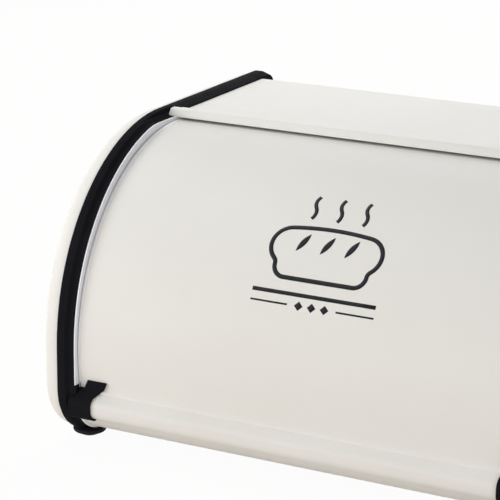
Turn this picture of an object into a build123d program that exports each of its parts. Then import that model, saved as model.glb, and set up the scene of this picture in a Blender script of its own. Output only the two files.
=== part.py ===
from build123d import *
from math import asin, atan2, cos, degrees, hypot, radians, sin
import os

# Roll-top bread box: a bent sheet case between two framed ends, and a quarter-round lid on two pivots.
# Lengths are in millimetres and angles in degrees. X runs across the width, the front faces -Y, Z is up
# and the floor is Z 0. Each end is modelled once, on the right, and mirrored to the left.

# Overall sizes
overall_width = 370.0
overall_depth = 300.0
overall_height = 208.0
sheet = 0.8
overrun = 20.0

# Side outline of the edge frames
foot_height = 4.0
front_straight = 27.0
front_corner_radius = 39.0
rear_bottom_radius = 22.0
rear_top_radius = 12.0
wrap_rear_top_radius = 25.0

# Edge frame, across one end from the outside in
frame_face_width = 6.6
ledge_width = 6.4
ledge_drop = 2.2
ring_depth = 11.0
frame_edge_radius = 0.8

# End panel, a dish seated in a groove of the edge frame
panel_depth = 14.0
panel_edge_radius = 12.0
panel_inset = 1.5
panel_rear_top_radius = 22.0
panel_seat_depth = 2.0
panel_seat_clearance = 0.15

# Case wrap: base, back and top in one sheet, with its edges in slots of the edge frames
base_lip_angle = 35.0
slot_cover = 0.85
slot_depth = 3.4
slot_clearance = 0.15
hem_setback = 7.5
hem_radius = 3.3
hem_edge_radius = 1.2
hem_end_gap = 0.6
hem_notch_clearance = 0.4
hem_scoop_reach = 60.0
hem_scoop_drop = 3.0
base_hem_radius = 1.5
base_hem_curl_angle = 250.0

# Inner cheek and its screws
cheek_step = 0.2
cheek_wrap_clearance = 0.3
screw_radius = 1.4
screw_length = 9.0
screw_clearance = 0.05
screw_head_radius = 3.0
screw_head_height = 1.2
screw_head_edge_radius = 0.6
screw_slot_width = 0.8
screw_slot_depth = 0.5
top_screw_share = 0.6
back_screw_shares = (0.25, 0.7)
base_screw_shares = (0.2, 0.75)
corner_screw_angle = 225.0

# Lid
pivot_forward = 1.0
pivot_below = 1.5
lid_depth = 6.0
lid_side_gap = 1.2
lid_end_angle = 97.0
lid_end_flange = 5.0
lip_gap = 1.7
lip_height = 18.6
lip_run = 4.0
lip_ledge_drop = 6.6
lip_fillet = 4.0
lip_nose_radius = 5.0
lip_under_radius = 7.0
lip_return = 7.5

# Clips on the ends of the pull lip
nose_proud = 2.5
clip_wall = 1.65
clip_fit = 0.05
clip_grip = 12.0
clip_ridge_gap = 3.8
clip_end_gap = 0.3
clip_sweep_clearance = 0.6
tab_rise = 3.7
left_tab_reach = 6.0
left_tab_width = 14.5
left_tab_lean = 3.0
right_tab_reach = -2.0
right_tab_width = 9.0
right_tab_lean = 0.0
shoulder_rise = 1.6

# Lid arms and pivots
arm_set_in = 0.8
arm_thickness = 1.0
arm_hub_radius = 13.0
arm_middle_angle = 40.0
arm_spread_angle = 30.0
arm_flange_width = 12.0
weld_gap = 0.05
stud_radius = 3.0
stud_fit = 0.02
stud_head_radius = 7.0
stud_head_height = 2.0
bush_running_fit = 0.05
bush_radius = 4.5
bush_fit = 0.02
bush_flange_radius = 7.5
bush_stand_out = 0.6
pivot_end_gap = 0.1
washer_radius = 7.0
washer_thickness = 1.0
nut_radius = 6.0
nut_thickness = 1.4
nut_edge_radius = 0.5
stud_tail = 0.8

# Feet
foot_radius = 10.5
foot_edge_radius = 3.2
foot_crown = 5.5
foot_fit = 0.05
foot_stem_radius = 2.2
foot_stem_length = 7.0
front_foot_setback = 32.5
rear_foot_setback = 40.0

# Places along the depth and height
front_y = nose_proud - overall_depth / 2
back_y = overall_depth / 2
bottom_z = foot_height
top_z = overall_height
front_arc_radius = overall_height - foot_height - front_corner_radius - front_straight
arc_y = front_y + front_arc_radius
arc_z = top_z - front_arc_radius
corner_y = front_y + front_corner_radius
corner_z = bottom_z + front_corner_radius

# Places across the width, on the right
frame_outer_x = overall_width / 2 - panel_depth
ridge_x = frame_outer_x - frame_face_width
frame_inner_x = ridge_x - ledge_width
frame_middle_x = (frame_outer_x + frame_inner_x) / 2
cheek_inner_x = frame_inner_x - sheet
lid_half_width = cheek_inner_x - lid_side_gap
wrap_half_width = frame_inner_x + slot_depth - slot_clearance
hem_half_length = ridge_x - hem_end_gap

# Wrap surfaces and hems
wrap_inset = ledge_drop + slot_cover + slot_clearance
cheek_inset = ledge_drop + cheek_step
cheek_wrap_inset = wrap_inset + sheet + cheek_wrap_clearance
hem_y = arc_y + hem_setback
hem_z = top_z - wrap_inset - sheet / 2
hem_scoop_z = top_z - ledge_drop - hem_scoop_drop
base_lip_radius = front_corner_radius - wrap_inset
base_lip_y = corner_y - base_lip_radius * cos(radians(base_lip_angle))
base_lip_z = corner_z - base_lip_radius * sin(radians(base_lip_angle))

# Lid arc and lip places
pivot_y = arc_y - pivot_forward
pivot_z = arc_z - pivot_below
pivot = (pivot_y, pivot_z)
lid_radius = front_arc_radius - lid_depth
lip_bottom_z = base_lip_z + lip_gap
lip_corner_z = lip_bottom_z + lip_height
lid_low_angle = degrees(asin((pivot_z - lip_corner_z - lip_run) / lid_radius))
lip_nose_y = clip_wall + clip_fit - overall_depth / 2
clip_inner_x = lid_half_width - clip_grip
clip_outer_x = ridge_x - clip_ridge_gap
clip_split_x = lid_half_width + clip_end_gap
clip_sweep_radius = (
    hypot(pivot_y - corner_y, pivot_z - corner_z) + front_corner_radius - ledge_drop + clip_sweep_clearance
)

# Pivot stack, from the cheek towards the middle
arm_outer_x = lid_half_width - arm_set_in
arm_inner_x = arm_outer_x - arm_thickness
bush_inner_x = arm_inner_x - bush_stand_out
washer_outer_x = bush_inner_x - pivot_end_gap
nut_outer_x = washer_outer_x - washer_thickness
stud_tip_x = nut_outer_x - nut_thickness - stud_tail
stud_bore_radius = stud_radius + stud_fit

# Screw places in the side view
screw_inset = (cheek_wrap_inset + ring_depth) / 2
corner_screw_radius = front_corner_radius - screw_inset
screw_places = [
    (arc_y + (back_y - arc_y) * top_screw_share, top_z - screw_inset),
    *[(back_y - screw_inset, bottom_z + (top_z - bottom_z) * share) for share in back_screw_shares],
    *[(corner_y + (back_y - corner_y) * share, bottom_z + screw_inset) for share in base_screw_shares],
    (
        corner_y + corner_screw_radius * cos(radians(corner_screw_angle)),
        corner_z + corner_screw_radius * sin(radians(corner_screw_angle)),
    ),
]


def outline(inset, rear_radius=rear_top_radius, mode=Mode.ADD):
    """Draw the closed side outline of an end, moved inwards by inset, in the active sketch."""
    with BuildLine() as edge:
        CenterArc((arc_y, arc_z), front_arc_radius - inset, 90, 90)
        Line((front_y + inset, arc_z), (front_y + inset, corner_z))
        CenterArc((corner_y, corner_z), front_corner_radius - inset, 180, 90)
        Line((corner_y, bottom_z + inset), (back_y - rear_bottom_radius, bottom_z + inset))
        CenterArc(
            (back_y - rear_bottom_radius, bottom_z + rear_bottom_radius), rear_bottom_radius - inset, 270, 90
        )
        Line((back_y - inset, bottom_z + rear_bottom_radius), (back_y - inset, top_z - rear_radius))
        CenterArc((back_y - rear_radius, top_z - rear_radius), rear_radius - inset, 0, 90)
        Line((back_y - rear_radius, top_z - inset), (arc_y, top_z - inset))
    make_face(edge.edges(), mode=mode)


def end_slab(x, thickness, outer_inset, inner_inset=None, rear_radius=rear_top_radius, mode=Mode.ADD):
    """Extrude the side outline, or the ring between two insets of it, outwards from x."""
    with BuildSketch(Plane.YZ.offset(x)) as face:
        outline(outer_inset, rear_radius)
        if inner_inset is not None:
            outline(inner_inset, rear_radius, Mode.SUBTRACT)
    extrude(face.sketch, amount=thickness, mode=mode)


def wrap_slab(x, thickness, outer_inset, inner_inset, upper_y, mode=Mode.ADD):
    """Extrude a strip that follows the wrap, from the base lip round to upper_y on top, outwards from x."""
    with BuildSketch(Plane.YZ.offset(x)) as face:
        outline(outer_inset, wrap_rear_top_radius)
        outline(inner_inset, wrap_rear_top_radius, Mode.SUBTRACT)
        cut_front_opening(base_lip_angle, upper_y)
    extrude(face.sketch, amount=thickness, mode=mode)


def cut_hem_notch(x, thickness):
    """Cut the place of the hem, with a scoop in front of it, from the active part."""
    with BuildSketch(Plane.YZ.offset(x)) as face:
        with Locations((hem_y, hem_z)):
            Circle(hem_radius + hem_notch_clearance)
            Rectangle(
                2 * (hem_radius + hem_notch_clearance), hem_radius + overrun, align=(Align.CENTER, Align.MIN)
            )
        with Locations((hem_y, hem_scoop_z)):
            Rectangle(hem_scoop_reach, overrun, align=(Align.MAX, Align.MIN))
    extrude(face.sketch, amount=thickness, mode=Mode.SUBTRACT)


def disc(x, thickness, radius, place=pivot, mode=Mode.ADD):
    """Extrude a disc lying across the width from x towards the right."""
    with BuildSketch(Plane.YZ.offset(x)) as face:
        with Locations(place):
            Circle(radius)
    extrude(face.sketch, amount=thickness, mode=mode)


def cut_front_opening(low_angle, upper_y):
    """Remove the open front, from the base lip round to the top hem, from the active sketch."""
    reach = front_corner_radius + overrun
    low_y = corner_y - reach * cos(radians(low_angle))
    low_z = corner_z - reach * sin(radians(low_angle))
    with BuildLine() as edge:
        Polyline(
            (corner_y, corner_z),
            (low_y, low_z),
            (low_y, top_z + overrun),
            (upper_y, top_z + overrun),
            (upper_y, corner_z),
            close=True,
        )
    make_face(edge.edges(), mode=Mode.SUBTRACT)


def curl(centre, radius, start_angle, size):
    """Draw a strip of sheet rolled round a centre in the active sketch."""
    with BuildLine() as edge:
        outer = CenterArc(centre, radius, start_angle, size)
        inner = CenterArc(centre, radius - sheet, start_angle, size)
        Line(outer @ 0, inner @ 0)
        Line(outer @ 1, inner @ 1)
    make_face(edge.edges())


def lid_band(outer_radius, inner_radius, start_angle, size):
    """Draw a strip that follows the lid arc; angles run from the rear over the top to the front."""
    with BuildLine() as edge:
        outer = CenterArc(pivot, outer_radius, start_angle, size)
        inner = CenterArc(pivot, inner_radius, start_angle, size)
        Line(outer @ 0, inner @ 0)
        Line(outer @ 1, inner @ 1)
    make_face(edge.edges())


def mitre(first, second):
    """Return how far a corner moves when both its sides move out by one."""
    return (first + second) / (1 + first.dot(second))


def lip_path(offset):
    """Return the corners of the pull lip, moved out from the outer face of the skin by offset."""
    low = radians(lid_low_angle)
    out_of_arc = Vector(-cos(low), -sin(low))
    start = Vector(pivot_y, pivot_z) + out_of_arc * lid_radius
    corner = start + Vector(sin(low), -cos(low)) * (lip_run / cos(low))
    nose = Vector(lip_nose_y, corner.Y - lip_ledge_drop)
    incline = atan2(lip_ledge_drop, corner.X - lip_nose_y)
    out_of_ledge = Vector(-sin(incline), cos(incline))
    out_of_nose = Vector(-1, 0)
    out_of_under = Vector(0, -1)
    under = Vector(lip_nose_y, lip_bottom_z)
    end = Vector(lip_nose_y + lip_return, lip_bottom_z)
    return [
        start + out_of_arc * offset,
        corner + mitre(out_of_arc, out_of_ledge) * offset,
        nose + mitre(out_of_ledge, out_of_nose) * offset,
        under + mitre(out_of_nose, out_of_under) * offset,
        end + out_of_under * offset,
    ]


def lip_line(offset):
    """Draw the rounded pull lip, moved out by offset, in the active line."""
    radii = (lip_fillet - offset, lip_nose_radius + offset, lip_under_radius + offset)
    return FilletPolyline(*lip_path(offset), radius=radii)


def lip_band(outer_offset, inner_offset):
    """Draw the strip between two offsets of the pull lip in the active sketch."""
    with BuildLine() as edge:
        outer = lip_line(outer_offset)
        inner = lip_line(inner_offset)
        Line(outer @ 0, inner @ 0)
        Line(outer @ 1, inner @ 1)
    make_face(edge.edges())


# Edge frame: a proud face, a lower ledge inside it, a groove for the panel, a slot for the wrap's edge and a
# notch for the end of the hem
with BuildPart() as edge_frame:
    end_slab(ridge_x, frame_face_width, 0)
    rims = edge_frame.edges().group_by(Axis.X)
    fillet(rims[0] + rims[-1], frame_edge_radius)
    end_slab(frame_inner_x, ledge_width, ledge_drop)
    end_slab(
        frame_inner_x - overrun,
        overall_width,
        ring_depth,
        rear_radius=wrap_rear_top_radius,
        mode=Mode.SUBTRACT,
    )
    end_slab(
        frame_outer_x - panel_seat_depth,
        panel_seat_depth + overrun,
        panel_inset - panel_seat_clearance,
        panel_inset + sheet + panel_seat_clearance,
        panel_rear_top_radius,
        Mode.SUBTRACT,
    )
    wrap_slab(
        frame_inner_x - overrun,
        overrun + slot_depth,
        wrap_inset - slot_clearance,
        wrap_inset + sheet + slot_clearance,
        hem_y,
        Mode.SUBTRACT,
    )
    cut_hem_notch(frame_inner_x - overrun, overrun + hem_half_length + hem_notch_clearance - frame_inner_x)
    for place in screw_places:
        disc(cheek_inner_x, screw_length + sheet, screw_radius + screw_clearance, place, Mode.SUBTRACT)
    with BuildSketch(Plane.XY):
        with Locations(
            (frame_middle_x, front_y + front_foot_setback), (frame_middle_x, back_y - rear_foot_setback)
        ):
            Circle(foot_stem_radius + foot_fit)
    extrude(amount=bottom_z + foot_stem_length + foot_fit, mode=Mode.SUBTRACT)

# End panel: a dish with a rounded rim, seated in the frame's groove
with BuildPart() as end_panel:
    end_slab(
        frame_outer_x - panel_seat_depth + panel_seat_clearance,
        panel_depth + panel_seat_depth - panel_seat_clearance,
        panel_inset,
        rear_radius=panel_rear_top_radius,
    )
    fillet(end_panel.edges().group_by(Axis.X)[-1], panel_edge_radius)
    offset(amount=-sheet, openings=end_panel.faces().sort_by(Axis.X)[0])

# Inner cheek: a flat wall with holes for the stud and the screws, clear of the wrap and notched for the hem
with BuildPart() as inner_cheek:
    end_slab(cheek_inner_x, sheet, cheek_inset, rear_radius=wrap_rear_top_radius)
    wrap_slab(cheek_inner_x, sheet, 0, cheek_wrap_inset, hem_y, Mode.SUBTRACT)
    cut_hem_notch(cheek_inner_x - overrun, 2 * overrun)
    disc(cheek_inner_x - overrun, 2 * overrun, stud_bore_radius, mode=Mode.SUBTRACT)
    for place in screw_places:
        disc(cheek_inner_x - overrun, 2 * overrun, screw_radius + screw_clearance, place, Mode.SUBTRACT)

# Cheek screws: slotted pan heads on the inside of the cheek
with BuildPart() as cheek_screws:
    for place in screw_places:
        disc(cheek_inner_x - screw_head_height, screw_head_height, screw_head_radius, place)
    fillet(cheek_screws.edges().group_by(Axis.X)[0], screw_head_edge_radius)
    for place in screw_places:
        disc(cheek_inner_x, screw_length, screw_radius, place)
    with BuildSketch(Plane.YZ.offset(cheek_inner_x - screw_head_height)):
        with Locations(*screw_places):
            Rectangle(screw_slot_width, 2 * screw_head_radius)
    extrude(amount=screw_slot_depth, mode=Mode.SUBTRACT)

# Pivot stud: a head behind the cheek and a plain shank towards the middle
with BuildPart() as pivot_stud:
    disc(frame_inner_x, stud_head_height, stud_head_radius)
    disc(stud_tip_x, frame_inner_x - stud_tip_x, stud_radius)

# Pivot bush: turns with the arm, its flange fills the space to the cheek
with BuildPart() as pivot_bush:
    disc(arm_outer_x, cheek_inner_x - arm_outer_x - pivot_end_gap, bush_flange_radius)
    disc(bush_inner_x, arm_outer_x - bush_inner_x, bush_radius)
    disc(bush_inner_x, cheek_inner_x - bush_inner_x, stud_radius + bush_running_fit, mode=Mode.SUBTRACT)

# Pivot washer and the push nut that keeps it on
with BuildPart() as pivot_washer:
    disc(nut_outer_x, washer_thickness, washer_radius)
    disc(nut_outer_x, washer_thickness, stud_bore_radius, mode=Mode.SUBTRACT)

with BuildPart() as push_nut:
    disc(nut_outer_x - nut_thickness, nut_thickness, nut_radius)
    fillet(push_nut.edges().group_by(Axis.X)[0], nut_edge_radius)
    disc(nut_outer_x - nut_thickness, nut_thickness, stud_bore_radius, mode=Mode.SUBTRACT)

# Lid arm: a tapered plate from the hub to the skin, with a curved flange welded under the skin
with BuildPart() as lid_arm:
    arm_radius = lid_radius - sheet - weld_gap
    arm_start_angle = 180 - arm_middle_angle - arm_spread_angle / 2
    hub_lean = radians(90 - arm_middle_angle)
    hub_side = Vector(cos(hub_lean), sin(hub_lean)) * arm_hub_radius
    with BuildSketch(Plane.YZ.offset(arm_inner_x)):
        with BuildLine():
            rim = CenterArc(pivot, arm_radius, arm_start_angle, arm_spread_angle)
            Polyline(rim @ 0, Vector(*pivot) + hub_side, Vector(*pivot) - hub_side, rim @ 1)
        make_face()
        with Locations(pivot):
            Circle(arm_hub_radius)
            Circle(bush_radius + bush_fit, mode=Mode.SUBTRACT)
    extrude(amount=arm_thickness)
    with BuildSketch(Plane.YZ.offset(arm_outer_x - arm_flange_width)):
        lid_band(arm_radius, arm_radius - arm_thickness, arm_start_angle, arm_spread_angle)
    extrude(amount=arm_flange_width)


def lip_clip(tab_reach, tab_width, tab_lean):
    """Build one clip on the right: a cover with a tab on the lip end, and a nose over the frame's ledge."""
    clip_outer = clip_wall + clip_fit
    tab_outer_x = clip_inner_x - tab_reach + tab_width
    tab_low_z = lip_corner_z + shoulder_rise
    tab_top_z = lip_corner_z + lip_run + tab_rise
    tab_angle = degrees(tab_rise / lid_radius)
    cover_x = min(clip_inner_x, clip_inner_x - tab_reach - tab_lean)
    with BuildPart() as clip:
        with BuildSketch(Plane.YZ.offset(cover_x)):
            lip_band(clip_outer, clip_fit)
            lid_band(
                lid_radius + clip_outer, lid_radius + clip_fit, 180 + lid_low_angle - tab_angle, tab_angle
            )
        extrude(amount=clip_split_x - cover_x)
        with BuildSketch(Plane.XZ.offset(-front_y)):
            with BuildLine():
                Polyline(
                    (clip_inner_x, lip_bottom_z - overrun),
                    (clip_split_x, lip_bottom_z - overrun),
                    (clip_split_x, tab_low_z),
                    (tab_outer_x, tab_low_z),
                    (tab_outer_x - tab_lean, tab_top_z),
                    (clip_inner_x - tab_reach - tab_lean, tab_top_z),
                    (clip_inner_x - tab_reach, tab_low_z),
                    (clip_inner_x, lip_corner_z - lip_run),
                    close=True,
                )
            make_face()
        extrude(amount=overrun, both=True, mode=Mode.INTERSECT)
        with BuildSketch(Plane.YZ.offset(clip_split_x)):
            with BuildLine():
                nose_line = lip_line(clip_outer)
                Polyline(nose_line @ 1, pivot, nose_line @ 0)
            make_face()
            with Locations(pivot):
                Circle(clip_sweep_radius, mode=Mode.SUBTRACT)
        extrude(amount=clip_outer_x - clip_split_x)
    return clip


# Case wrap: base, back and top, with a wired hem along the top and a small open hem along the base lip
with BuildPart() as body_wrap:
    with BuildSketch(Plane.YZ.offset(-hem_half_length)):
        with Locations((hem_y, hem_z)):
            Circle(hem_radius)
    extrude(amount=2 * hem_half_length)
    fillet(body_wrap.edges().filter_by(GeomType.CIRCLE), hem_edge_radius)
    wrap_slab(-wrap_half_width, 2 * wrap_half_width, wrap_inset, wrap_inset + sheet, hem_y)
    base_hem_y = base_lip_y + base_hem_radius * cos(radians(base_lip_angle))
    base_hem_z = base_lip_z + base_hem_radius * sin(radians(base_lip_angle))
    with BuildSketch(Plane.YZ.offset(-lid_half_width)):
        curl((base_hem_y, base_hem_z), base_hem_radius, 180 + base_lip_angle, -base_hem_curl_angle)
    extrude(amount=2 * lid_half_width)

# Lid skin: the arc, a stiffening flange at its hidden end and the formed pull lip at its front
with BuildPart() as lid_skin:
    lid_end_turn = radians(180 - lid_end_angle)
    lid_end_out = Vector(cos(lid_end_turn), sin(lid_end_turn))
    lid_end_side = Vector(-sin(lid_end_turn), cos(lid_end_turn)) * sheet
    flange_foot = Vector(*pivot) + lid_end_out * (lid_radius - lid_end_flange)
    flange_head = Vector(*pivot) + lid_end_out * (lid_radius - sheet / 2)
    with BuildSketch(Plane.YZ.offset(-lid_half_width)):
        lid_band(lid_radius, lid_radius - sheet, 180 - lid_end_angle, lid_end_angle + lid_low_angle)
        lip_band(0, -sheet)
        with BuildLine():
            Polyline(
                flange_foot,
                flange_head,
                flange_head + lid_end_side,
                flange_foot + lid_end_side,
                close=True,
            )
        make_face()
    extrude(amount=2 * lid_half_width)


def foot(foot_y):
    """Build one foot on the right: a round head shaped to the frame above it, and a stem in the frame."""
    with BuildPart() as rubber_foot:
        with BuildSketch(Plane.XY):
            with Locations((frame_middle_x, foot_y)):
                Circle(foot_radius)
        extrude(amount=foot_height + foot_crown)
        fillet(rubber_foot.edges().group_by(Axis.Z)[0], foot_edge_radius)
        end_slab(frame_middle_x - overrun, 2 * overrun, -foot_fit, mode=Mode.SUBTRACT)
        with BuildSketch(Plane.XY.offset(foot_height / 2)):
            with Locations((frame_middle_x, foot_y)):
                Circle(foot_stem_radius)
        extrude(amount=foot_height / 2 + foot_stem_length)
    return rubber_foot


# Every node is written out; the pieces of an end go out for the right and, mirrored, for the left
middle_pieces = {"body_wrap": body_wrap, "lid_skin": lid_skin}
end_pieces = {
    "{}_edge_frame": edge_frame,
    "{}_end_panel": end_panel,
    "{}_inner_cheek": inner_cheek,
    "{}_cheek_screws": cheek_screws,
    "{}_pivot_stud": pivot_stud,
    "{}_pivot_bush": pivot_bush,
    "{}_pivot_washer": pivot_washer,
    "{}_push_nut": push_nut,
    "{}_lid_arm": lid_arm,
    "front_{}_foot": foot(front_y + front_foot_setback),
    "rear_{}_foot": foot(back_y - rear_foot_setback),
}


def mirrored(piece):
    """Return the left-hand copy of a piece of the right end."""
    with BuildPart() as opposite:
        mirror(piece.part, about=Plane.YZ)
    return opposite


def write_node(piece, node):
    """Label a finished piece and write its STEP file."""
    piece.part.label = node
    export_step(piece.part, f"parts/{node}.step")


os.makedirs("parts", exist_ok=True)
for node, piece in middle_pieces.items():
    write_node(piece, node)
for pattern, piece in end_pieces.items():
    write_node(piece, pattern.format("right"))
    write_node(mirrored(piece), pattern.format("left"))
write_node(lip_clip(right_tab_reach, right_tab_width, right_tab_lean), "right_lip_clip")
write_node(mirrored(lip_clip(left_tab_reach, left_tab_width, left_tab_lean)), "left_lip_clip")
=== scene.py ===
"""Looks of a roll-top bread box: a painted sheet case with black edge frames and a quarter-round lid."""

import logging
import math
from collections.abc import Iterable
from dataclasses import dataclass
from enum import Enum
from typing import NamedTuple

import bmesh
import bpy
from bmesh.types import BMEdge, BMesh, BMVert
from bpy.types import Node, NodeSocket, NodeTree
from mathutils import Matrix, Vector


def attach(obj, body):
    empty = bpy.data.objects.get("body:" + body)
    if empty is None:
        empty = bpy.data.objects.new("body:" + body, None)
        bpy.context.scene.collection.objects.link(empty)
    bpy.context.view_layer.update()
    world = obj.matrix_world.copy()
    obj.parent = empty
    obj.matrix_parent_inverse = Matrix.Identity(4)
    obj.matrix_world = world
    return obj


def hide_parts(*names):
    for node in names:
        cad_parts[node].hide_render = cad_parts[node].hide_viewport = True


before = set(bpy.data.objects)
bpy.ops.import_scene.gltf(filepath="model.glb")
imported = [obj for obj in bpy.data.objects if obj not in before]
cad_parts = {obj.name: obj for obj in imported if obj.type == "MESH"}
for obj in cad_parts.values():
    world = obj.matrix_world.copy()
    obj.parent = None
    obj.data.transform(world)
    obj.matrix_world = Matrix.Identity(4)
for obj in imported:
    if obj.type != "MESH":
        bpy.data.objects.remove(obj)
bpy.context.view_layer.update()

LOG = logging.getLogger("bread_box")
MM = 0.001
WELD = 0.001 * MM
SHARP_ANGLE = 35.0
PATTERN_LOW = 0.3
PATTERN_HIGH = 0.7
ACROSS = (1.0, 0.0, 0.0)
UP = (0.0, 0.0, 1.0)
WHITE = (1.0, 1.0, 1.0, 1.0)

Triple = tuple[float, float, float]


class Body(Enum):
    """The two bodies that pieces ride on."""

    CASE = "case"
    LID = "lid"


class Where(Enum):
    """Places on the box that are part of node names."""

    @property
    def word(self) -> str:
        """The place's name in lower case, as node names have it."""
        return self.name.lower()


class Side(Where):
    """The two ends of the box, with the sign of X that each lies on."""

    LEFT = -1
    RIGHT = 1


class Row(Where):
    """The two rows of feet, with the place of each along the depth."""

    FRONT = -115.0 * MM
    REAR = 110.0 * MM


class NodeDesk:
    """Lays out the shader nodes of one material."""

    def __init__(self, name: str) -> None:
        """Start a material with its principled shader.

        Args:
            name: Name of the new material.
        """
        self.material = bpy.data.materials.new(name)
        self.material.use_nodes = True
        self.tree = self.material.node_tree
        self.shader = self.tree.nodes["Principled BSDF"]
        self.coordinates = self.add("ShaderNodeTexCoord")

    def add(self, kind: str, **settings: object) -> Node:
        """Add a node.

        Args:
            kind: Blender's name for the node type.
            settings: Properties to set on the node.

        Returns:
            The new node.
        """
        node = self.tree.nodes.new(kind)
        for key, value in settings.items():
            setattr(node, key, value)
        return node

    def join(self, source: NodeSocket, target: NodeSocket) -> None:
        """Link two sockets."""
        self.tree.links.new(source, target)

    def fix(self, **values: object) -> None:
        """Set constant values on the shader, by socket name with underscores for spaces."""
        for key, value in values.items():
            self.shader.inputs[key.replace("_", " ")].default_value = value

    def noise(self, scale: float, detail: float = 2.0) -> NodeSocket:
        """Add a noise pattern on the piece's own coordinates.

        Args:
            scale: Pattern size, in waves per metre.
            detail: Number of finer layers.

        Returns:
            The value socket.
        """
        node = self.add("ShaderNodeTexNoise")
        node.inputs["Scale"].default_value = scale
        node.inputs["Detail"].default_value = detail
        self.join(self.coordinates.outputs["Object"], node.inputs["Vector"])
        return node.outputs["Fac"]

    def spread(self, value: NodeSocket, low: float, high: float) -> NodeSocket:
        """Map the middle of a pattern's range to values from low to high.

        Args:
            value: Pattern socket.
            low: Result for the pattern's low places.
            high: Result for its high places.

        Returns:
            The mapped value socket.
        """
        node = self.add("ShaderNodeMapRange")
        node.inputs["From Min"].default_value = PATTERN_LOW
        node.inputs["From Max"].default_value = PATTERN_HIGH
        node.inputs["To Min"].default_value = low
        node.inputs["To Max"].default_value = high
        self.join(value, node.inputs["Value"])
        return node.outputs["Result"]

    def tint(self, value: NodeSocket, low: Triple, high: Triple) -> NodeSocket:
        """Blend two colours by a pattern.

        Args:
            value: Pattern socket.
            low: Linear colour of the low places.
            high: Linear colour of the high places.

        Returns:
            The colour socket.
        """
        ramp = self.add("ShaderNodeValToRGB")
        ramp.color_ramp.elements[0].position = PATTERN_LOW
        ramp.color_ramp.elements[0].color = (*low, 1.0)
        ramp.color_ramp.elements[1].position = PATTERN_HIGH
        ramp.color_ramp.elements[1].color = (*high, 1.0)
        self.join(value, ramp.inputs["Fac"])
        return ramp.outputs["Color"]

    def relief(self, height: NodeSocket, strength: float, depth: float) -> None:
        """Give the shader a fine relief.

        Args:
            height: Pattern socket.
            strength: Share of the relief that shows.
            depth: Height of the relief in metres.
        """
        bump = self.add("ShaderNodeBump")
        bump.inputs["Strength"].default_value = strength
        bump.inputs["Distance"].default_value = depth
        self.join(height, bump.inputs["Height"])
        self.join(bump.outputs["Normal"], self.shader.inputs["Normal"])


@dataclass(frozen=True)
class Finish:
    """A surface finish: two near tones, a range of roughness and a fine relief."""

    name: str
    slot: str
    tone: Triple
    shade: Triple
    smooth: float
    rough: float
    cloud_scale: float
    gloss_scale: float
    grain_scale: float
    grain_strength: float
    grain_depth: float = 0.1 * MM
    specular: float = 0.5
    metallic: float = 0.0

    def material(self) -> bpy.types.Material:
        """Make the material on its first use, and find it again after that.

        Returns:
            The material.
        """
        known = bpy.data.materials.get(self.name)
        if known is not None:
            return known
        desk = NodeDesk(self.name)
        desk.fix(Metallic=self.metallic, Specular_IOR_Level=self.specular)
        cloud = desk.noise(self.cloud_scale, detail=3.0)
        desk.join(desk.tint(cloud, self.shade, self.tone), desk.shader.inputs["Base Color"])
        gloss = desk.noise(self.gloss_scale)
        desk.join(desk.spread(gloss, self.smooth, self.rough), desk.shader.inputs["Roughness"])
        desk.relief(desk.noise(self.grain_scale), self.grain_strength, self.grain_depth)
        return desk.material


CREAM_PAINT = Finish(
    name="warm_white_powder_coat",
    slot="cream_paint",
    tone=(0.825, 0.812, 0.775),
    shade=(0.805, 0.790, 0.750),
    smooth=0.46,
    rough=0.56,
    cloud_scale=11.0,
    gloss_scale=160.0,
    grain_scale=900.0,
    grain_strength=0.14,
    specular=0.22,
)
BLACK_PLASTIC = Finish(
    name="moulded_black_plastic",
    slot="black_plastic",
    tone=(0.0125, 0.0125, 0.0155),
    shade=(0.0095, 0.0095, 0.012),
    smooth=0.66,
    rough=0.8,
    cloud_scale=40.0,
    gloss_scale=260.0,
    grain_scale=1500.0,
    grain_strength=0.25,
    specular=0.012,
)
BLACK_RUBBER = Finish(
    name="black_foot_rubber",
    slot="black_rubber",
    tone=(0.012, 0.012, 0.012),
    shade=(0.008, 0.008, 0.008),
    smooth=0.72,
    rough=0.88,
    cloud_scale=60.0,
    gloss_scale=300.0,
    grain_scale=1100.0,
    grain_strength=0.3,
    specular=0.2,
)
ZINC_STEEL = Finish(
    name="bright_zinc_plate",
    slot="zinc_steel",
    tone=(0.62, 0.63, 0.65),
    shade=(0.50, 0.51, 0.53),
    smooth=0.24,
    rough=0.42,
    cloud_scale=180.0,
    gloss_scale=500.0,
    grain_scale=1800.0,
    grain_strength=0.2,
    metallic=1.0,
)
NYLON = Finish(
    name="natural_nylon",
    slot="nylon",
    tone=(0.74, 0.72, 0.66),
    shade=(0.68, 0.66, 0.60),
    smooth=0.38,
    rough=0.5,
    cloud_scale=120.0,
    gloss_scale=400.0,
    grain_scale=1300.0,
    grain_strength=0.15,
)
WHITE_NYLON = Finish(
    name="white_nylon_strip",
    slot="nylon",
    tone=(0.87, 0.87, 0.90),
    shade=(0.85, 0.85, 0.88),
    smooth=0.28,
    rough=0.38,
    cloud_scale=60.0,
    gloss_scale=300.0,
    grain_scale=1200.0,
    grain_strength=0.12,
    specular=0.6,
)
PRINT_INK = Finish(
    name="black_print_ink",
    slot="cream_paint",
    tone=(0.021, 0.022, 0.027),
    shade=(0.014, 0.015, 0.018),
    smooth=0.38,
    rough=0.5,
    cloud_scale=300.0,
    gloss_scale=500.0,
    grain_scale=900.0,
    grain_strength=0.14,
    specular=0.1,
)


def weld(mesh: BMesh, distance: float = WELD) -> None:
    """Join the vertices of a mesh that lie closer than a distance."""
    bmesh.ops.remove_doubles(mesh, verts=mesh.verts[:], dist=distance)


def shift(mesh: BMesh, x: float = 0.0, y: float = 0.0, z: float = 0.0) -> None:
    """Move a whole mesh along X, Y and Z."""
    bmesh.ops.translate(mesh, verts=mesh.verts[:], vec=(x, y, z))


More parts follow.
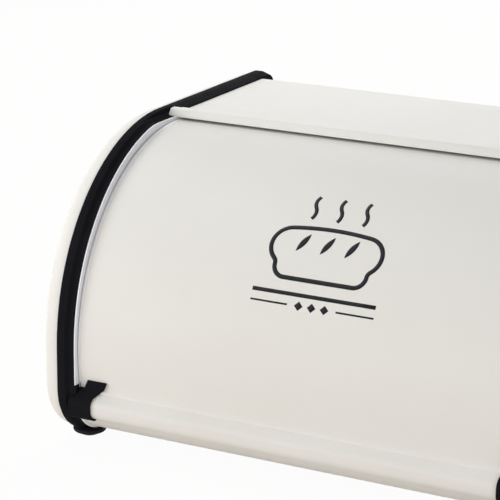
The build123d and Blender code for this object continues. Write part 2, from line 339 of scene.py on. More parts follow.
def stretch_x(mesh: BMesh, factor: float) -> None:
    """Scale a whole mesh across the width."""
    bmesh.ops.scale(mesh, verts=mesh.verts[:], vec=(factor, 1.0, 1.0))


def cap(mesh: BMesh) -> None:
    """Fill the open ends of a mesh and turn all its faces outward."""
    bmesh.ops.holes_fill(mesh, edges=mesh.edges[:], sides=0)
    bmesh.ops.recalc_face_normals(mesh, faces=mesh.faces[:])


def cut(mesh: BMesh, place: Triple, outward: Triple, clear: bool = False) -> None:
    """Cut a mesh along a plane.

    Args:
        mesh: Mesh to cut.
        place: A point on the plane.
        outward: Direction across the plane.
        clear: Whether what lies outward of the plane is taken away.
    """
    bmesh.ops.bisect_plane(
        mesh,
        geom=mesh.verts[:] + mesh.edges[:] + mesh.faces[:],
        plane_co=place,
        plane_no=outward,
        clear_outer=clear,
    )


def extrude(mesh: BMesh, edges: list[BMEdge], way: Triple | Vector) -> list[BMEdge]:
    """Draw edges out into faces.

    Args:
        mesh: Mesh that holds the edges.
        edges: Edges to draw out.
        way: How far, along X, Y and Z.

    Returns:
        The edges at the far end.
    """
    made = bmesh.ops.extrude_edge_only(mesh, edges=edges)["geom"]
    fresh = [item for item in made if isinstance(item, BMVert)]
    bmesh.ops.translate(mesh, verts=fresh, vec=way)
    return [item for item in made if isinstance(item, BMEdge)]


def spin(
    mesh: BMesh,
    parts: list[BMVert | BMEdge],
    centre: Triple | Vector,
    axis: Triple,
    degrees: float,
    pieces: int,
) -> list[BMVert | BMEdge]:
    """Draw vertices and edges out round a centre.

    Args:
        mesh: Mesh that holds them.
        parts: Vertices and edges to draw out.
        centre: Centre of the turn.
        axis: Axis of the turn.
        degrees: Angle of the turn.
        pieces: Number of steps.

    Returns:
        The vertices and edges at the far end.
    """
    made = bmesh.ops.spin(
        mesh,
        geom=parts,
        cent=centre,
        axis=axis,
        angle=math.radians(degrees),
        steps=pieces,
    )
    return made["geom_last"]


class SidePath:
    """A line drawn in the side plane, one run or bend after another."""

    def __init__(self, mesh: BMesh, y: float, z: float) -> None:
        """Set the first point.

        Args:
            mesh: Mesh to draw in.
            y: Place along the depth.
            z: Height.
        """
        self.mesh = mesh
        self.last = mesh.verts.new((0.0, y, z))

    def run(self, y: float, z: float, pieces: int = 1) -> None:
        """Draw straight to a point.

        Args:
            y: Place along the depth.
            z: Height.
            pieces: Number of edges to draw.
        """
        start = self.last.co.copy()
        goal = Vector((0.0, y, z))
        for step in range(pieces):
            made = bmesh.ops.extrude_vert_indiv(self.mesh, verts=[self.last])
            self.last = made["verts"][0]
            self.last.co = start.lerp(goal, (step + 1) / pieces)

    def bend(self, y: float, z: float, degrees: float, pieces: int) -> None:
        """Draw an arc about a centre.

        Args:
            y: Centre along the depth.
            z: Height of the centre.
            degrees: Angle of the arc, turning from the rear over the top to the front.
            pieces: Number of edges to draw.
        """
        made = spin(self.mesh, [self.last], (0.0, y, z), ACROSS, degrees, pieces)
        self.last = next(item for item in made if isinstance(item, BMVert))

    def corner(self, corner: Vector, towards: Vector, radius: float, pieces: int) -> None:
        """Draw to a corner and round it.

        Args:
            corner: The sharp corner, as depth and height.
            towards: The point that the line goes on to.
            radius: Radius of the rounding.
            pieces: Number of edges in the rounding.
        """
        before = (corner - Vector(self.last.co[1:])).normalized()
        after = (towards - corner).normalized()
        turn = math.atan2(before.cross(after), before.dot(after))
        meet = corner - before * (radius * math.tan(abs(turn) / 2))
        inward = Vector((-before.y, before.x)) * math.copysign(radius, turn)
        self.run(*meet)
        self.bend(*(meet + inward), math.degrees(turn), pieces)


class Corner(NamedTuple):
    """A corner of a drawn line, with the radius of its rounding and the edges in it."""

    place: float
    height: float
    radius: float = 0.0
    pieces: int = 5


def draw_line(mesh: BMesh, corners: list[Corner]) -> None:
    """Draw a line with rounded corners and two sharp ends in the side plane.

    Args:
        mesh: Mesh to draw in.
        corners: Corners of the line, from end to end.
    """
    points = [Vector(corner[:2]) for corner in corners]
    path = SidePath(mesh, *points[0])
    for corner, point, following in zip(corners[1:], points[1:], points[2:]):
        path.corner(point, following, corner.radius, corner.pieces)
    path.run(*points[-1])
    weld(mesh)


def draw_section(mesh: BMesh, corners: list[Corner]) -> None:
    """Draw a closed line in the side plane, with its first corner sharp."""
    draw_line(mesh, [*corners, corners[0]])


def sweep(mesh: BMesh, stops: Iterable[float]) -> None:
    """Draw the line in a mesh out across the width.

    Args:
        mesh: Mesh that holds a line in the side plane.
        stops: Places across the width, from the first side to the last.
    """
    here, *others = stops
    shift(mesh, x=here)
    edges = mesh.edges[:]
    for stop in others:
        edges = extrude(mesh, edges, (stop - here, 0.0, 0.0))
        here = stop


def face_away(mesh: BMesh, inside: Vector) -> None:
    """Turn a sheet's faces so that most look away from a point.

    Args:
        mesh: Mesh to turn.
        inside: A point on the inner side of the sheet.
    """
    weld(mesh)
    bmesh.ops.recalc_face_normals(mesh, faces=mesh.faces[:])
    outward = sum(
        face.calc_area() * face.normal.dot((face.calc_center_median() - inside).normalized())
        for face in mesh.faces
    )
    if outward < 0.0:
        bmesh.ops.reverse_faces(mesh, faces=mesh.faces[:])


def make_piece(
    mesh: BMesh, name: str, finish: Finish, body: Body, stands_for: tuple[str, ...] = ()
) -> bpy.types.Object:
    """Turn a finished mesh into a piece that rides on a body.

    Args:
        mesh: Mesh in the shared frame.
        name: Name of the piece.
        finish: Its finish.
        body: The body that it moves with.
        stands_for: Model nodes that it replaces.

    Returns:
        The new object.
    """
    data = bpy.data.meshes.new(name)
    mesh.to_mesh(data)
    mesh.free()
    data.shade_smooth()
    data.materials.append(finish.material())
    piece = bpy.data.objects.new(name, data)
    bpy.context.scene.collection.objects.link(piece)
    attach(piece, body.value)
    if stands_for:
        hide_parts(*stands_for)
    LOG.info("%s rides on %s, %d faces", name, body.value, len(data.polygons))
    return piece


def thicken(piece: bpy.types.Object, thickness: float, outward: bool = False) -> None:
    """Give a sheet its thickness.

    Args:
        piece: The sheet.
        thickness: Thickness in metres.
        outward: Whether the sheet grows on its outer side.
    """
    wall = piece.modifiers.new("wall", "SOLIDIFY")
    wall.thickness = thickness
    wall.offset = 1.0 if outward else -1.0
    wall.use_even_offset = True


def soften(piece: bpy.types.Object, width: float, segments: int = 2, angle: float = 40.0) -> None:
    """Round the sharp edges of a piece.

    Args:
        piece: The piece.
        width: Width of the rounding.
        segments: Number of steps in it.
        angle: Least angle between faces that counts as sharp, in degrees.
    """
    edge = piece.modifiers.new("soft_edges", "BEVEL")
    edge.width = width
    edge.segments = segments
    edge.limit_method = "ANGLE"
    edge.angle_limit = math.radians(angle)
    edge.harden_normals = True


@dataclass(frozen=True)
class CaseSizes:
    """Outline of the case seen from the side, which the wrap and the edge bands share."""

    front_y: float = -147.5 * MM
    back_y: float = 150.0 * MM
    bottom_z: float = 4.0 * MM
    top_z: float = 208.0 * MM
    arc_radius: float = 138.0 * MM
    front_radius: float = 39.0 * MM
    rear_radius: float = 22.0 * MM

    @property
    def front_arc(self) -> tuple[float, float]:
        """Centre of the quarter-round front, as depth and height."""
        return self.front_y + self.arc_radius, self.top_z - self.arc_radius

    @property
    def front_corner(self) -> tuple[float, float]:
        """Centre of the corner at the front of the base, as depth and height."""
        return self.front_y + self.front_radius, self.bottom_z + self.front_radius

    @property
    def rear_corner(self) -> tuple[float, float]:
        """Centre of the corner at the rear of the base, as depth and height."""
        return self.back_y - self.rear_radius, self.bottom_z + self.rear_radius


@dataclass(frozen=True)
class CaseWrap:
    """The bent sheet of the case, from the base lip round the back to the pressed hem on top."""

    case: CaseSizes
    sheet: float = 0.8 * MM
    half_width: float = 161.25 * MM
    inset: float = 3.2 * MM
    edge_round: float = 0.2 * MM
    top_radius: float = 25.0 * MM
    lip_angle: float = 35.0
    lip_hem_radius: float = 1.5 * MM
    lip_hem_angle: float = 250.0
    lip_hem_half_width: float = 156.0 * MM
    rise_start: float = 13.0 * MM
    rise_shoulder_share: float = 1.0 / 3.0
    rise_half_width: float = 157.6 * MM
    rise_foot_radius: float = 20.0 * MM
    rise_shoulder_radius: float = 8.0 * MM
    rise_margin: float = 0.02 * MM
    hem_y: float = -2.0 * MM
    hem_z: float = 204.4 * MM
    hem_radius: float = 3.3 * MM
    hem_half_width: float = 163.8 * MM
    hem_cover: float = 0.1 * MM
    hem_face_top: float = 1.8 * MM
    hem_face_foot: float = 6.2 * MM
    hem_face_lift: float = 1.4 * MM
    hem_face_radius: float = 2.4 * MM
    hem_foot_radius: float = 0.8 * MM
    hem_back_radius: float = 1.0 * MM
    hem_edge: float = 0.9 * MM

    def build(self) -> None:
        """Build the wrap and its hem."""
        self.build_wrap()
        self.build_hem()

    def build_wrap(self) -> None:
        """Build the sheet in one sweep, and trim the lip's hem and the rise at both ends."""
        case = self.case
        mesh = bmesh.new()
        corner_y, corner_z = case.front_corner
        reach = case.front_radius - self.inset - self.lip_hem_radius
        turn = math.radians(self.lip_angle)
        curl = Vector((corner_y - reach * math.cos(turn), corner_z - reach * math.sin(turn)))
        start = math.radians(180.0 + self.lip_angle - self.lip_hem_angle)
        path = SidePath(mesh, *(curl + Vector((math.cos(start), math.sin(start))) * self.lip_hem_radius))
        path.bend(*curl, self.lip_hem_angle, pieces=20)
        path.bend(corner_y, corner_z, 90.0 - self.lip_angle, pieces=16)
        path.run(case.rear_corner[0], case.bottom_z + self.inset, pieces=6)
        path.bend(*case.rear_corner, 90.0, pieces=16)
        path.run(case.back_y - self.inset, case.top_z - self.top_radius, pieces=5)
        path.bend(case.back_y - self.top_radius, case.top_z - self.top_radius, 90.0, pieces=16)
        self.draw_rise(path)
        trim = self.lip_hem_half_width
        rise = self.rise_half_width
        sweep(mesh, (-self.half_width, -rise, -trim, 0.0, trim, rise, self.half_width))
        spare = []
        for face in mesh.faces:
            middle = face.calc_center_median()
            in_lip_hem = (Vector(middle[1:]) - curl).length < self.lip_hem_radius
            in_rise = middle.z > case.top_z - self.inset + self.rise_margin
            if (in_lip_hem and abs(middle.x) > trim) or (in_rise and abs(middle.x) > rise):
                spare.append(face)
        bmesh.ops.delete(mesh, geom=spare, context="FACES")
        face_away(mesh, Vector((0.0, 0.0, case.top_z / 2)))
        piece = make_piece(mesh, "case_wrap", CREAM_PAINT, Body.CASE, ("body_wrap",))
        thicken(piece, self.sheet)
        soften(piece, self.edge_round)

    def draw_rise(self, path: SidePath) -> None:
        """Draw the flat of the top and its rise to the crest under the hem.

        Args:
            path: Path that ends at the rear of the top.
        """
        crest = Vector((self.hem_y, self.hem_z + self.hem_radius - self.hem_cover))
        foot = Vector((self.hem_y + self.rise_start, self.case.top_z - self.inset))
        shoulder = Vector((self.hem_y + self.rise_start * self.rise_shoulder_share, crest.y))
        path.corner(foot, shoulder, self.rise_foot_radius, pieces=8)
        path.corner(shoulder, crest, self.rise_shoulder_radius, pieces=8)
        path.run(*crest)

    def build_hem(self) -> None:
        """Build the pressed hem over its wire, with a sloped front face and rounded ends."""
        mesh = bmesh.new()
        back = self.hem_y + self.hem_radius
        face_top = self.hem_y - self.hem_face_top
        face_foot = self.hem_y - self.hem_face_foot
        high = self.hem_z + self.hem_radius
        low = self.hem_z - self.hem_radius
        corners = [
            Corner(back, self.hem_z),
            Corner(back, high, self.hem_back_radius),
            Corner(face_top, high, self.hem_face_radius, pieces=8),
            Corner(face_foot, low + self.hem_face_lift, self.hem_foot_radius, pieces=6),
            Corner(back, low, self.hem_back_radius),
        ]
        draw_section(mesh, corners)
        sweep(mesh, (-self.hem_half_width, self.hem_half_width))
        cap(mesh)
        rims = [edge for edge in mesh.edges if abs(edge.verts[0].co.x - edge.verts[1].co.x) < MM]
        bmesh.ops.bevel(
            mesh,
            geom=rims,
            offset=self.hem_edge,
            affect="EDGES",
            segments=5,
            profile=0.5,
            material=-1,
        )
        make_piece(mesh, "top_hem", CREAM_PAINT, Body.CASE)


class SectionSweep:
    """A closed section carried round in the side plane, one run or bend after another."""

    def __init__(self, mesh: BMesh, corners: list[Corner], y: float) -> None:
        """Draw the section across the width and set it on its first place.

        Args:
            mesh: Mesh to build in.
            corners: Corners as place across the width and height.
            y: Place along the depth.
        """
        self.mesh = mesh
        draw_section(mesh, corners)
        bmesh.ops.rotate(mesh, verts=mesh.verts[:], matrix=Matrix.Rotation(-math.pi / 2, 3, "Z"))
        shift(mesh, y=y)
        self.edges = mesh.edges[:]

    def run(self, y: float, z: float) -> None:
        """Carry the section straight on, along the depth and up."""
        self.edges = extrude(self.mesh, self.edges, (0.0, y, z))

    def bend(self, y: float, z: float, degrees: float, pieces: int) -> None:
        """Carry the section round a centre.

        Args:
            y: Centre along the depth.
            z: Height of the centre.
            degrees: Angle, from the top over the rear to the front.
            pieces: Number of steps.
        """
        corners = {vert for edge in self.edges for vert in edge.verts}
        made = spin(self.mesh, [*corners, *self.edges], (0.0, y, z), ACROSS, -degrees, pieces)
        self.edges = [item for item in made if isinstance(item, BMEdge)]


@dataclass(frozen=True)
class EdgeBand:
    """A black edge frame of a ring, two strips and a stop, and the white trim of its cheek."""

    case: CaseSizes
    side: Side
    start_y: float = 1.4 * MM
    rear_top_radius: float = 12.0 * MM
    depth: float = 7.0 * MM
    outer_x: float = 170.8 * MM
    outer_drop: float = 0.15 * MM
    outer_round: float = 1.1 * MM
    outer_foot_round: float = 0.1 * MM
    crown_width: float = 2.2 * MM
    crown_round: float = 8.0 * MM
    wall_x: float = 165.4 * MM
    wall_drop: float = 0.1 * MM
    wall_round: float = 0.5 * MM
    ring_weld: float = 0.005 * MM
    strip_lap: float = 0.4 * MM
    strip_drop: float = 0.03 * MM
    lap_round: float = 0.02 * MM
    hidden_round: float = 0.05 * MM
    slope_round: float = 3.0 * MM
    slope_foot_round: float = 0.5 * MM
    crest_x: float = 164.4 * MM
    crest_round: float = 0.9 * MM
    ledge_x: float = 162.0 * MM
    ledge_drop: float = 2.2 * MM
    ledge_round: float = 0.8 * MM
    inner_x: float = 158.15 * MM
    inner_round: float = 0.35 * MM
    dip_angle: float = 74.0
    dip_z: float = 202.8 * MM
    stop_x: float = 157.05 * MM
    stop_wall: float = 1.15 * MM
    stop_depth: float = 4.4 * MM
    stop_rise: float = 0.4 * MM
    stop_round: float = 0.2 * MM
    stop_low_z: float = 26.0 * MM
    stop_high_z: float = 46.5 * MM
    trim_x: float = 157.13 * MM
    trim_depth: float = 4.6 * MM
    trim_rise: float = 0.3 * MM
    trim_outer_round: float = 0.2 * MM
    trim_inner_round: float = 0.35 * MM

    @property
    def low_z(self) -> float:
        """Height of the band's hidden inner side, where it lies on the top."""
        return self.case.top_z - self.depth

    @property
    def strip_z(self) -> float:
        """Height of the strips beside the ring, where they lie on the top."""
        return self.case.top_z - self.strip_drop

    @property
    def ledge_z(self) -> float:
        """Height of the ledge, if it lay on the top."""
        return self.case.top_z - self.ledge_drop

    def build(self) -> None:
        """Build the band and the white trim beside it."""
        self.build_band()
        self.build_trim()

    def build_band(self) -> None:
        """Build the ring, the strips and the stop as one piece."""
        whole = bmesh.new()
        for sweep_part in (self.sweep_ring, self.sweep_rear, self.sweep_front, self.sweep_stop):
            part = bmesh.new()
            sweep_part(part)
            cap(part)
            data = bpy.data.meshes.new("band_part")
            part.to_mesh(data)
            part.free()
            whole.from_mesh(data)
            bpy.data.meshes.remove(data)
        if self.side is Side.LEFT:
            stretch_x(whole, -1.0)
            bmesh.ops.reverse_faces(whole, faces=whole.faces[:])
        node = f"{self.side.word}_edge_frame"
        piece = make_piece(whole, f"{self.side.word}_edge_band", BLACK_PLASTIC, Body.CASE, (node,))
        piece.data.set_sharp_from_angle(angle=math.radians(SHARP_ANGLE))

    def build_trim(self) -> None:
        """Build the white trim over the front edge of the inner cheek."""
        mesh = bmesh.new()
        low = self.ledge_z - self.trim_depth
        high = self.ledge_z + self.trim_rise
        corners = [
            Corner(self.inner_x, low),
            Corner(self.inner_x, high, self.trim_outer_round),
            Corner(self.trim_x, high, self.trim_inner_round),
            Corner(self.trim_x, low, self.hidden_round),
        ]
        self.carry_down(mesh, corners)
        stretch_x(mesh, self.side.value)
        cap(mesh)
        piece = make_piece(mesh, f"{self.side.word}_cheek_trim", WHITE_NYLON, Body.CASE)
        piece.data.set_sharp_from_angle(angle=math.radians(SHARP_ANGLE))

    def sweep_ring(self, mesh: BMesh) -> None:
        """Carry the ring's section all the way round.

        Args:
            mesh: Mesh to build in.
        """
        top = self.case.top_z
        corners = [
            Corner(self.wall_x, self.low_z),
            Corner(self.wall_x, top - self.wall_drop, self.wall_round),
            Corner(self.wall_x + self.crown_width, top, self.crown_round),
            Corner(self.outer_x, top - self.outer_drop, self.outer_round),
            Corner(self.outer_x, self.low_z, self.outer_foot_round),
        ]
        carrier = self.carry_back(mesh, corners)
        corner_y, corner_z = self.case.front_corner
        arc_y, arc_z = self.case.front_arc
        carrier.bend(corner_y, corner_z, 90.0, pieces=24)
        carrier.run(0.0, arc_z - corner_z)
        carrier.bend(arc_y, arc_z, 90.0, pieces=48)
        carrier.run(self.start_y - arc_y, 0.0)
        weld(mesh, self.ring_weld)

    def sweep_rear(self, mesh: BMesh) -> None:
        """Carry a sloped strip from behind the hem over the rear to the front of the base.

        Args:
            mesh: Mesh to build in.
        """
        face = [
            Corner(self.crest_x + self.strip_lap, self.strip_z, self.slope_round),
            Corner(self.inner_x, self.ledge_z, self.slope_foot_round),
        ]
        self.carry_back(mesh, self.strip_corners(face))

    def sweep_front(self, mesh: BMesh) -> None:
        """Carry a strip with a ledge from under the hem down the front arc to the base.

        Args:
            mesh: Mesh to build in.
        """
        face = [
            Corner(self.crest_x, self.strip_z, self.crest_round),
            Corner(self.ledge_x, self.ledge_z, self.ledge_round),
            Corner(self.inner_x, self.ledge_z, self.inner_round),
        ]
        self.carry_down(mesh, self.strip_corners(face))

    def sweep_stop(self, mesh: BMesh) -> None:
        """Carry a thin wall down the front, and keep the part that the lid's clip rests beside.

        Args:
            mesh: Mesh to build in.
        """
        outer = self.stop_x + self.stop_wall
        low = self.ledge_z - self.stop_depth
        high = self.ledge_z + self.stop_rise
        corners = [
            Corner(outer, low),
            Corner(outer, high, self.hidden_round),
            Corner(self.stop_x, high, self.stop_round),
            Corner(self.stop_x, low, self.stop_round),
        ]
        self.carry_down(mesh, corners)
        cut(mesh, (0.0, 0.0, self.stop_high_z), (0.0, 0.0, 1.0), clear=True)
        cut(mesh, (0.0, 0.0, self.stop_low_z), (0.0, 0.0, -1.0), clear=True)

    def strip_corners(self, face: list[Corner]) -> list[Corner]:
        """Add the hidden sides to a strip's face.

        Args:
            face: Corners of the face, from the ring to the inner edge.

        Returns:
            Corners of the whole section.
        """
        lap_x = self.wall_x + self.strip_lap
        return [
            Corner(lap_x, self.low_z),
            Corner(lap_x, self.strip_z, self.lap_round),
            *face,
            Corner(self.inner_x, self.low_z, self.hidden_round),
        ]

    def carry_back(self, mesh: BMesh, corners: list[Corner]) -> SectionSweep:
        """Carry a section from the top over the rear to the front of the base.

        Args:
            mesh: Mesh to build in.
            corners: Corners of the section, as it lies on the top.

        Returns:
            The sweep, to be carried on.
        """
        case = self.case
        carrier = SectionSweep(mesh, corners, self.start_y)
        high_y = case.back_y - self.rear_top_radius
        high_z = case.top_z - self.rear_top_radius
        low_y, low_z = case.rear_corner
        carrier.run(high_y - self.start_y, 0.0)
        carrier.bend(high_y, high_z, 90.0, pieces=16)
        carrier.run(0.0, low_z - high_z)
        carrier.bend(low_y, low_z, 90.0, pieces=16)
        carrier.run(case.front_corner[0] - low_y, 0.0)
        return carrier

    def carry_down(self, mesh: BMesh, corners: list[Corner]) -> None:
        """Carry a section from its dip under the hem down the front to the base.

        Args:
            mesh: Mesh to build in.
            corners: Corners of the section, as if it lay on the top.
        """
        carrier = SectionSweep(mesh, corners, self.start_y)
        shift(mesh, z=self.dip_z - self.ledge_z)
        arc_y, arc_z = self.case.front_arc
        corner_y, corner_z = self.case.front_corner
        reach = self.case.arc_radius - self.ledge_drop
        turn = math.radians(self.dip_angle)
        share = math.sin(turn)
        dip_radius = (self.dip_z - arc_z - reach * share) / (1.0 - share)
        dip_y = arc_y - (reach - dip_radius) * math.cos(turn)
        dip_centre_z = arc_z + (reach - dip_radius) * share
        carrier.run(dip_y - self.start_y, 0.0)
        carrier.bend(dip_y, dip_centre_z, self.dip_angle - 90.0, pieces=16)
        carrier.bend(arc_y, arc_z, -self.dip_angle, pieces=32)
        carrier.run(0.0, corner_z - arc_z)
        carrier.bend(corner_y, corner_z, -90.0, pieces=24)


@dataclass(frozen=True)
class RubberFoot:
    """A domed rubber foot with a flat tread, under an edge frame."""

    side: Side
    row: Row
    place_x: float = 165.0 * MM
    radius: float = 11.4 * MM
    tread: float = 4.0 * MM
    height: float = 6.0 * MM
    shoulder_share: float = 0.62
    dome_radius: float = 7.0 * MM
    shoulder_radius: float = 1.6 * MM
    seat_round: float = 0.3 * MM

    def build(self) -> None:
        """Spin the foot's outline round its axis."""
        mesh = bmesh.new()
        outline = [
            Corner(0.0, 0.0),
            Corner(self.tread, 0.0, self.dome_radius, pieces=8),
            Corner(self.radius, self.shoulder_share * self.height, self.shoulder_radius, pieces=8),
            Corner(self.radius, self.height, self.seat_round, pieces=4),
            Corner(0.0, self.height),
        ]
        draw_line(mesh, outline)
        bmesh.ops.spin(
            mesh,
            geom=mesh.verts[:] + mesh.edges[:],
            cent=(0.0, 0.0, 0.0),
            axis=UP,
            angle=2.0 * math.pi,
            steps=48,
            use_merge=True,
        )
        weld(mesh)
        bmesh.ops.recalc_face_normals(mesh, faces=mesh.faces[:])
        shift(mesh, x=self.side.value * self.place_x, y=self.row.value)
        node = f"{self.row.word}_{self.side.word}_foot"
        make_piece(mesh, f"{node}_pad", BLACK_RUBBER, Body.CASE, (node,))


@dataclass(frozen=True)
class LidSizes:
    """Sizes of the lid that its skin, its clips and its printed mark share."""

    pivot_y: float = -10.5 * MM
    pivot_z: float = 68.5 * MM
    radius: float = 132.0 * MM
    half_width: float = 156.0 * MM
    sheet: float = 0.8 * MM
    end_angle: float = 97.0
    lip_bottom_z: float = 24.166 * MM
    lip_corner_z: float = 42.766 * MM
    lip_run: float = 4.0 * MM
    lip_ledge_drop: float = 6.6 * MM
    lip_nose_y: float = -148.3 * MM
    lip_return: float = 7.5 * MM
    lip_fillet: float = 4.0 * MM
    lip_nose_radius: float = 5.0 * MM
    lip_under_radius: float = 7.0 * MM
    crease_half_width: float = 1.8 * MM
    crease_lift: float = 1.25 * MM
    crease_radius: float = 1.0 * MM

    @property
    def pivot(self) -> Vector:
        """The middle of the axis that the lid turns on."""
        return Vector((0.0, self.pivot_y, self.pivot_z))

    @property
    def low_angle(self) -> float:
        """Angle below the pivot at which the arc ends and the lip begins, in radians."""
        return math.asin((self.pivot_z - self.lip_corner_z - self.lip_run) / self.radius)

    def on_arc(self, angle: float, lift: float = 0.0) -> Vector:
        """Find a place on the lid's arc.

        Args:
            angle: Angle up from the front, in radians.
            lift: Height over the outer face.

        Returns:
            The place, as depth and height.
        """
        reach = self.radius + lift
        return Vector((self.pivot_y - reach * math.cos(angle), self.pivot_z + reach * math.sin(angle)))

    def lip_corners(self, lift: float) -> list[Vector]:
        """Find the corners of the pull lip.

        Args:
            lift: How far the line lies outside the skin's outer face.

        Returns:
            The start on the arc, the three corners and the end, as depth and height.
        """
        low = self.low_angle
        out_arc = Vector((-math.cos(low), -math.sin(low)))
        start = self.on_arc(-low)
        corner = start + Vector((math.sin(low), -math.cos(low))) * (self.lip_run / math.cos(low))
        nose = Vector((self.lip_nose_y, corner.y - self.lip_ledge_drop))
        along = (nose - corner).normalized()
        out_ledge = Vector((along.y, -along.x))
        out_nose = Vector((-1.0, 0.0))
        out_under = Vector((0.0, -1.0))
        under = Vector((self.lip_nose_y, self.lip_bottom_z))
        end = Vector((self.lip_nose_y + self.lip_return, self.lip_bottom_z))

        def moved(place: Vector, first: Vector, second: Vector) -> Vector:
            """Move a corner out from both its sides."""
            return place + (first + second) * (lift / (1.0 + first.dot(second)))

        return [
            start + out_arc * lift,
            moved(corner, out_arc, out_ledge),
            moved(nose, out_ledge, out_nose),
            moved(under, out_nose, out_under),
            end + out_under * lift,
        ]

    def draw_lip(self, path: SidePath, lift: float, pieces: int) -> None:
        """Draw the rounded pull lip on from the end of a path.

        The skin itself has a raised crease at the upper corner, and a line outside it a fillet.

        Args:
            path: Path that ends at the start of the lip.
            lift: How far the line lies outside the skin's outer face.
            pieces: Number of edges in each rounding.
        """
        start, corner, nose, under, end = self.lip_corners(lift)
        if lift > 0.0:
            path.corner(corner, nose, self.lip_fillet - lift, pieces)
        else:
            upper = corner + (start - corner).normalized() * self.crease_half_width
            lower = corner + (nose - corner).normalized() * self.crease_half_width
            outward = ((upper + lower) / 2.0 - corner).normalized()
            crest = corner + outward * self.crease_lift
            for here, ahead in ((upper, crest), (crest, lower), (lower, nose)):
                path.corner(here, ahead, self.crease_radius, pieces=4)
        path.corner(nose, under, self.lip_nose_radius + lift, pieces)
        path.corner(under, end, self.lip_under_radius + lift, pieces)
        path.run(*end)


@dataclass(frozen=True)
class LidShell:
    """The quarter-round skin of the lid with its stiffening flange and its pull lip."""

    sizes: LidSizes
    flange: float = 4.2 * MM
    flange_radius: float = 1.6 * MM
    edge_round: float = 0.2 * MM
    columns: int = 6

    def build(self) -> None:
        """Build the skin in one sweep."""
        sizes = self.sizes
        mesh = bmesh.new()
        rear = math.radians(sizes.end_angle) - self.flange_radius / sizes.radius
        bend_middle = sizes.on_arc(rear, -self.flange_radius)
        inward = (Vector((sizes.pivot_y, sizes.pivot_z)) - bend_middle).normalized()
        back = bend_middle + Vector((-inward.y, inward.x)) * self.flange_radius
        path = SidePath(mesh, *(back + inward * self.flange))
        path.run(*back)
        path.bend(*bend_middle, 90.0, pieces=6)
        path.bend(sizes.pivot_y, sizes.pivot_z, math.degrees(rear + sizes.low_angle), pieces=72)
        sizes.draw_lip(path, 0.0, pieces=8)
        column = 2.0 * sizes.half_width / self.columns
        sweep(mesh, [step * column - sizes.half_width for step in range(self.columns + 1)])
        face_away(mesh, sizes.pivot)
        piece = make_piece(mesh, "lid_shell", CREAM_PAINT, Body.LID, ("lid_skin",))
        thicken(piece, sizes.sheet)
        soften(piece, self.edge_round)


@dataclass(frozen=True)
class LidEdgeStrip:
    """A white slide strip along one side edge of the lid, wider towards the top."""

    sizes: LidSizes
    side: Side
    outer_x: float = 156.9 * MM
    low_width: float = 1.4 * MM
    high_width: float = 3.5 * MM
    widest_angle: float = 75.0
    end_gap: float = 1.0
    crown: float = 0.5 * MM
    tuck: float = 0.05 * MM
    wall: float = 0.5 * MM
    columns: int = 6

    def build(self) -> None:
        """Sweep the lid's arc across a unit width, then give the strip its taper and its crown."""
        sizes = self.sizes
        mesh = bmesh.new()
        rear = math.radians(sizes.end_angle - self.end_gap)
        path = SidePath(mesh, *sizes.on_arc(rear))
        path.bend(sizes.pivot_y, sizes.pivot_z, math.degrees(rear + sizes.low_angle), pieces=72)
        sweep(mesh, [step / self.columns for step in range(self.columns + 1)])
        for vert in mesh.verts:
            across = vert.co.x
            angle = math.atan2(vert.co.z - sizes.pivot_z, sizes.pivot_y - vert.co.y)
            share = min(1.0, max(0.0, angle / math.radians(self.widest_angle)))
            width = self.low_width + share * (self.high_width - self.low_width)
            lift = self.crown * math.sin(math.pi * across) - self.tuck
            y, z = sizes.on_arc(angle, lift)
            vert.co = (self.side.value * (self.outer_x - across * width), y, z)
        face_away(mesh, sizes.pivot)
        piece = make_piece(mesh, f"{self.side.word}_lid_edge_strip", WHITE_NYLON, Body.LID)
        thicken(piece, self.wall)


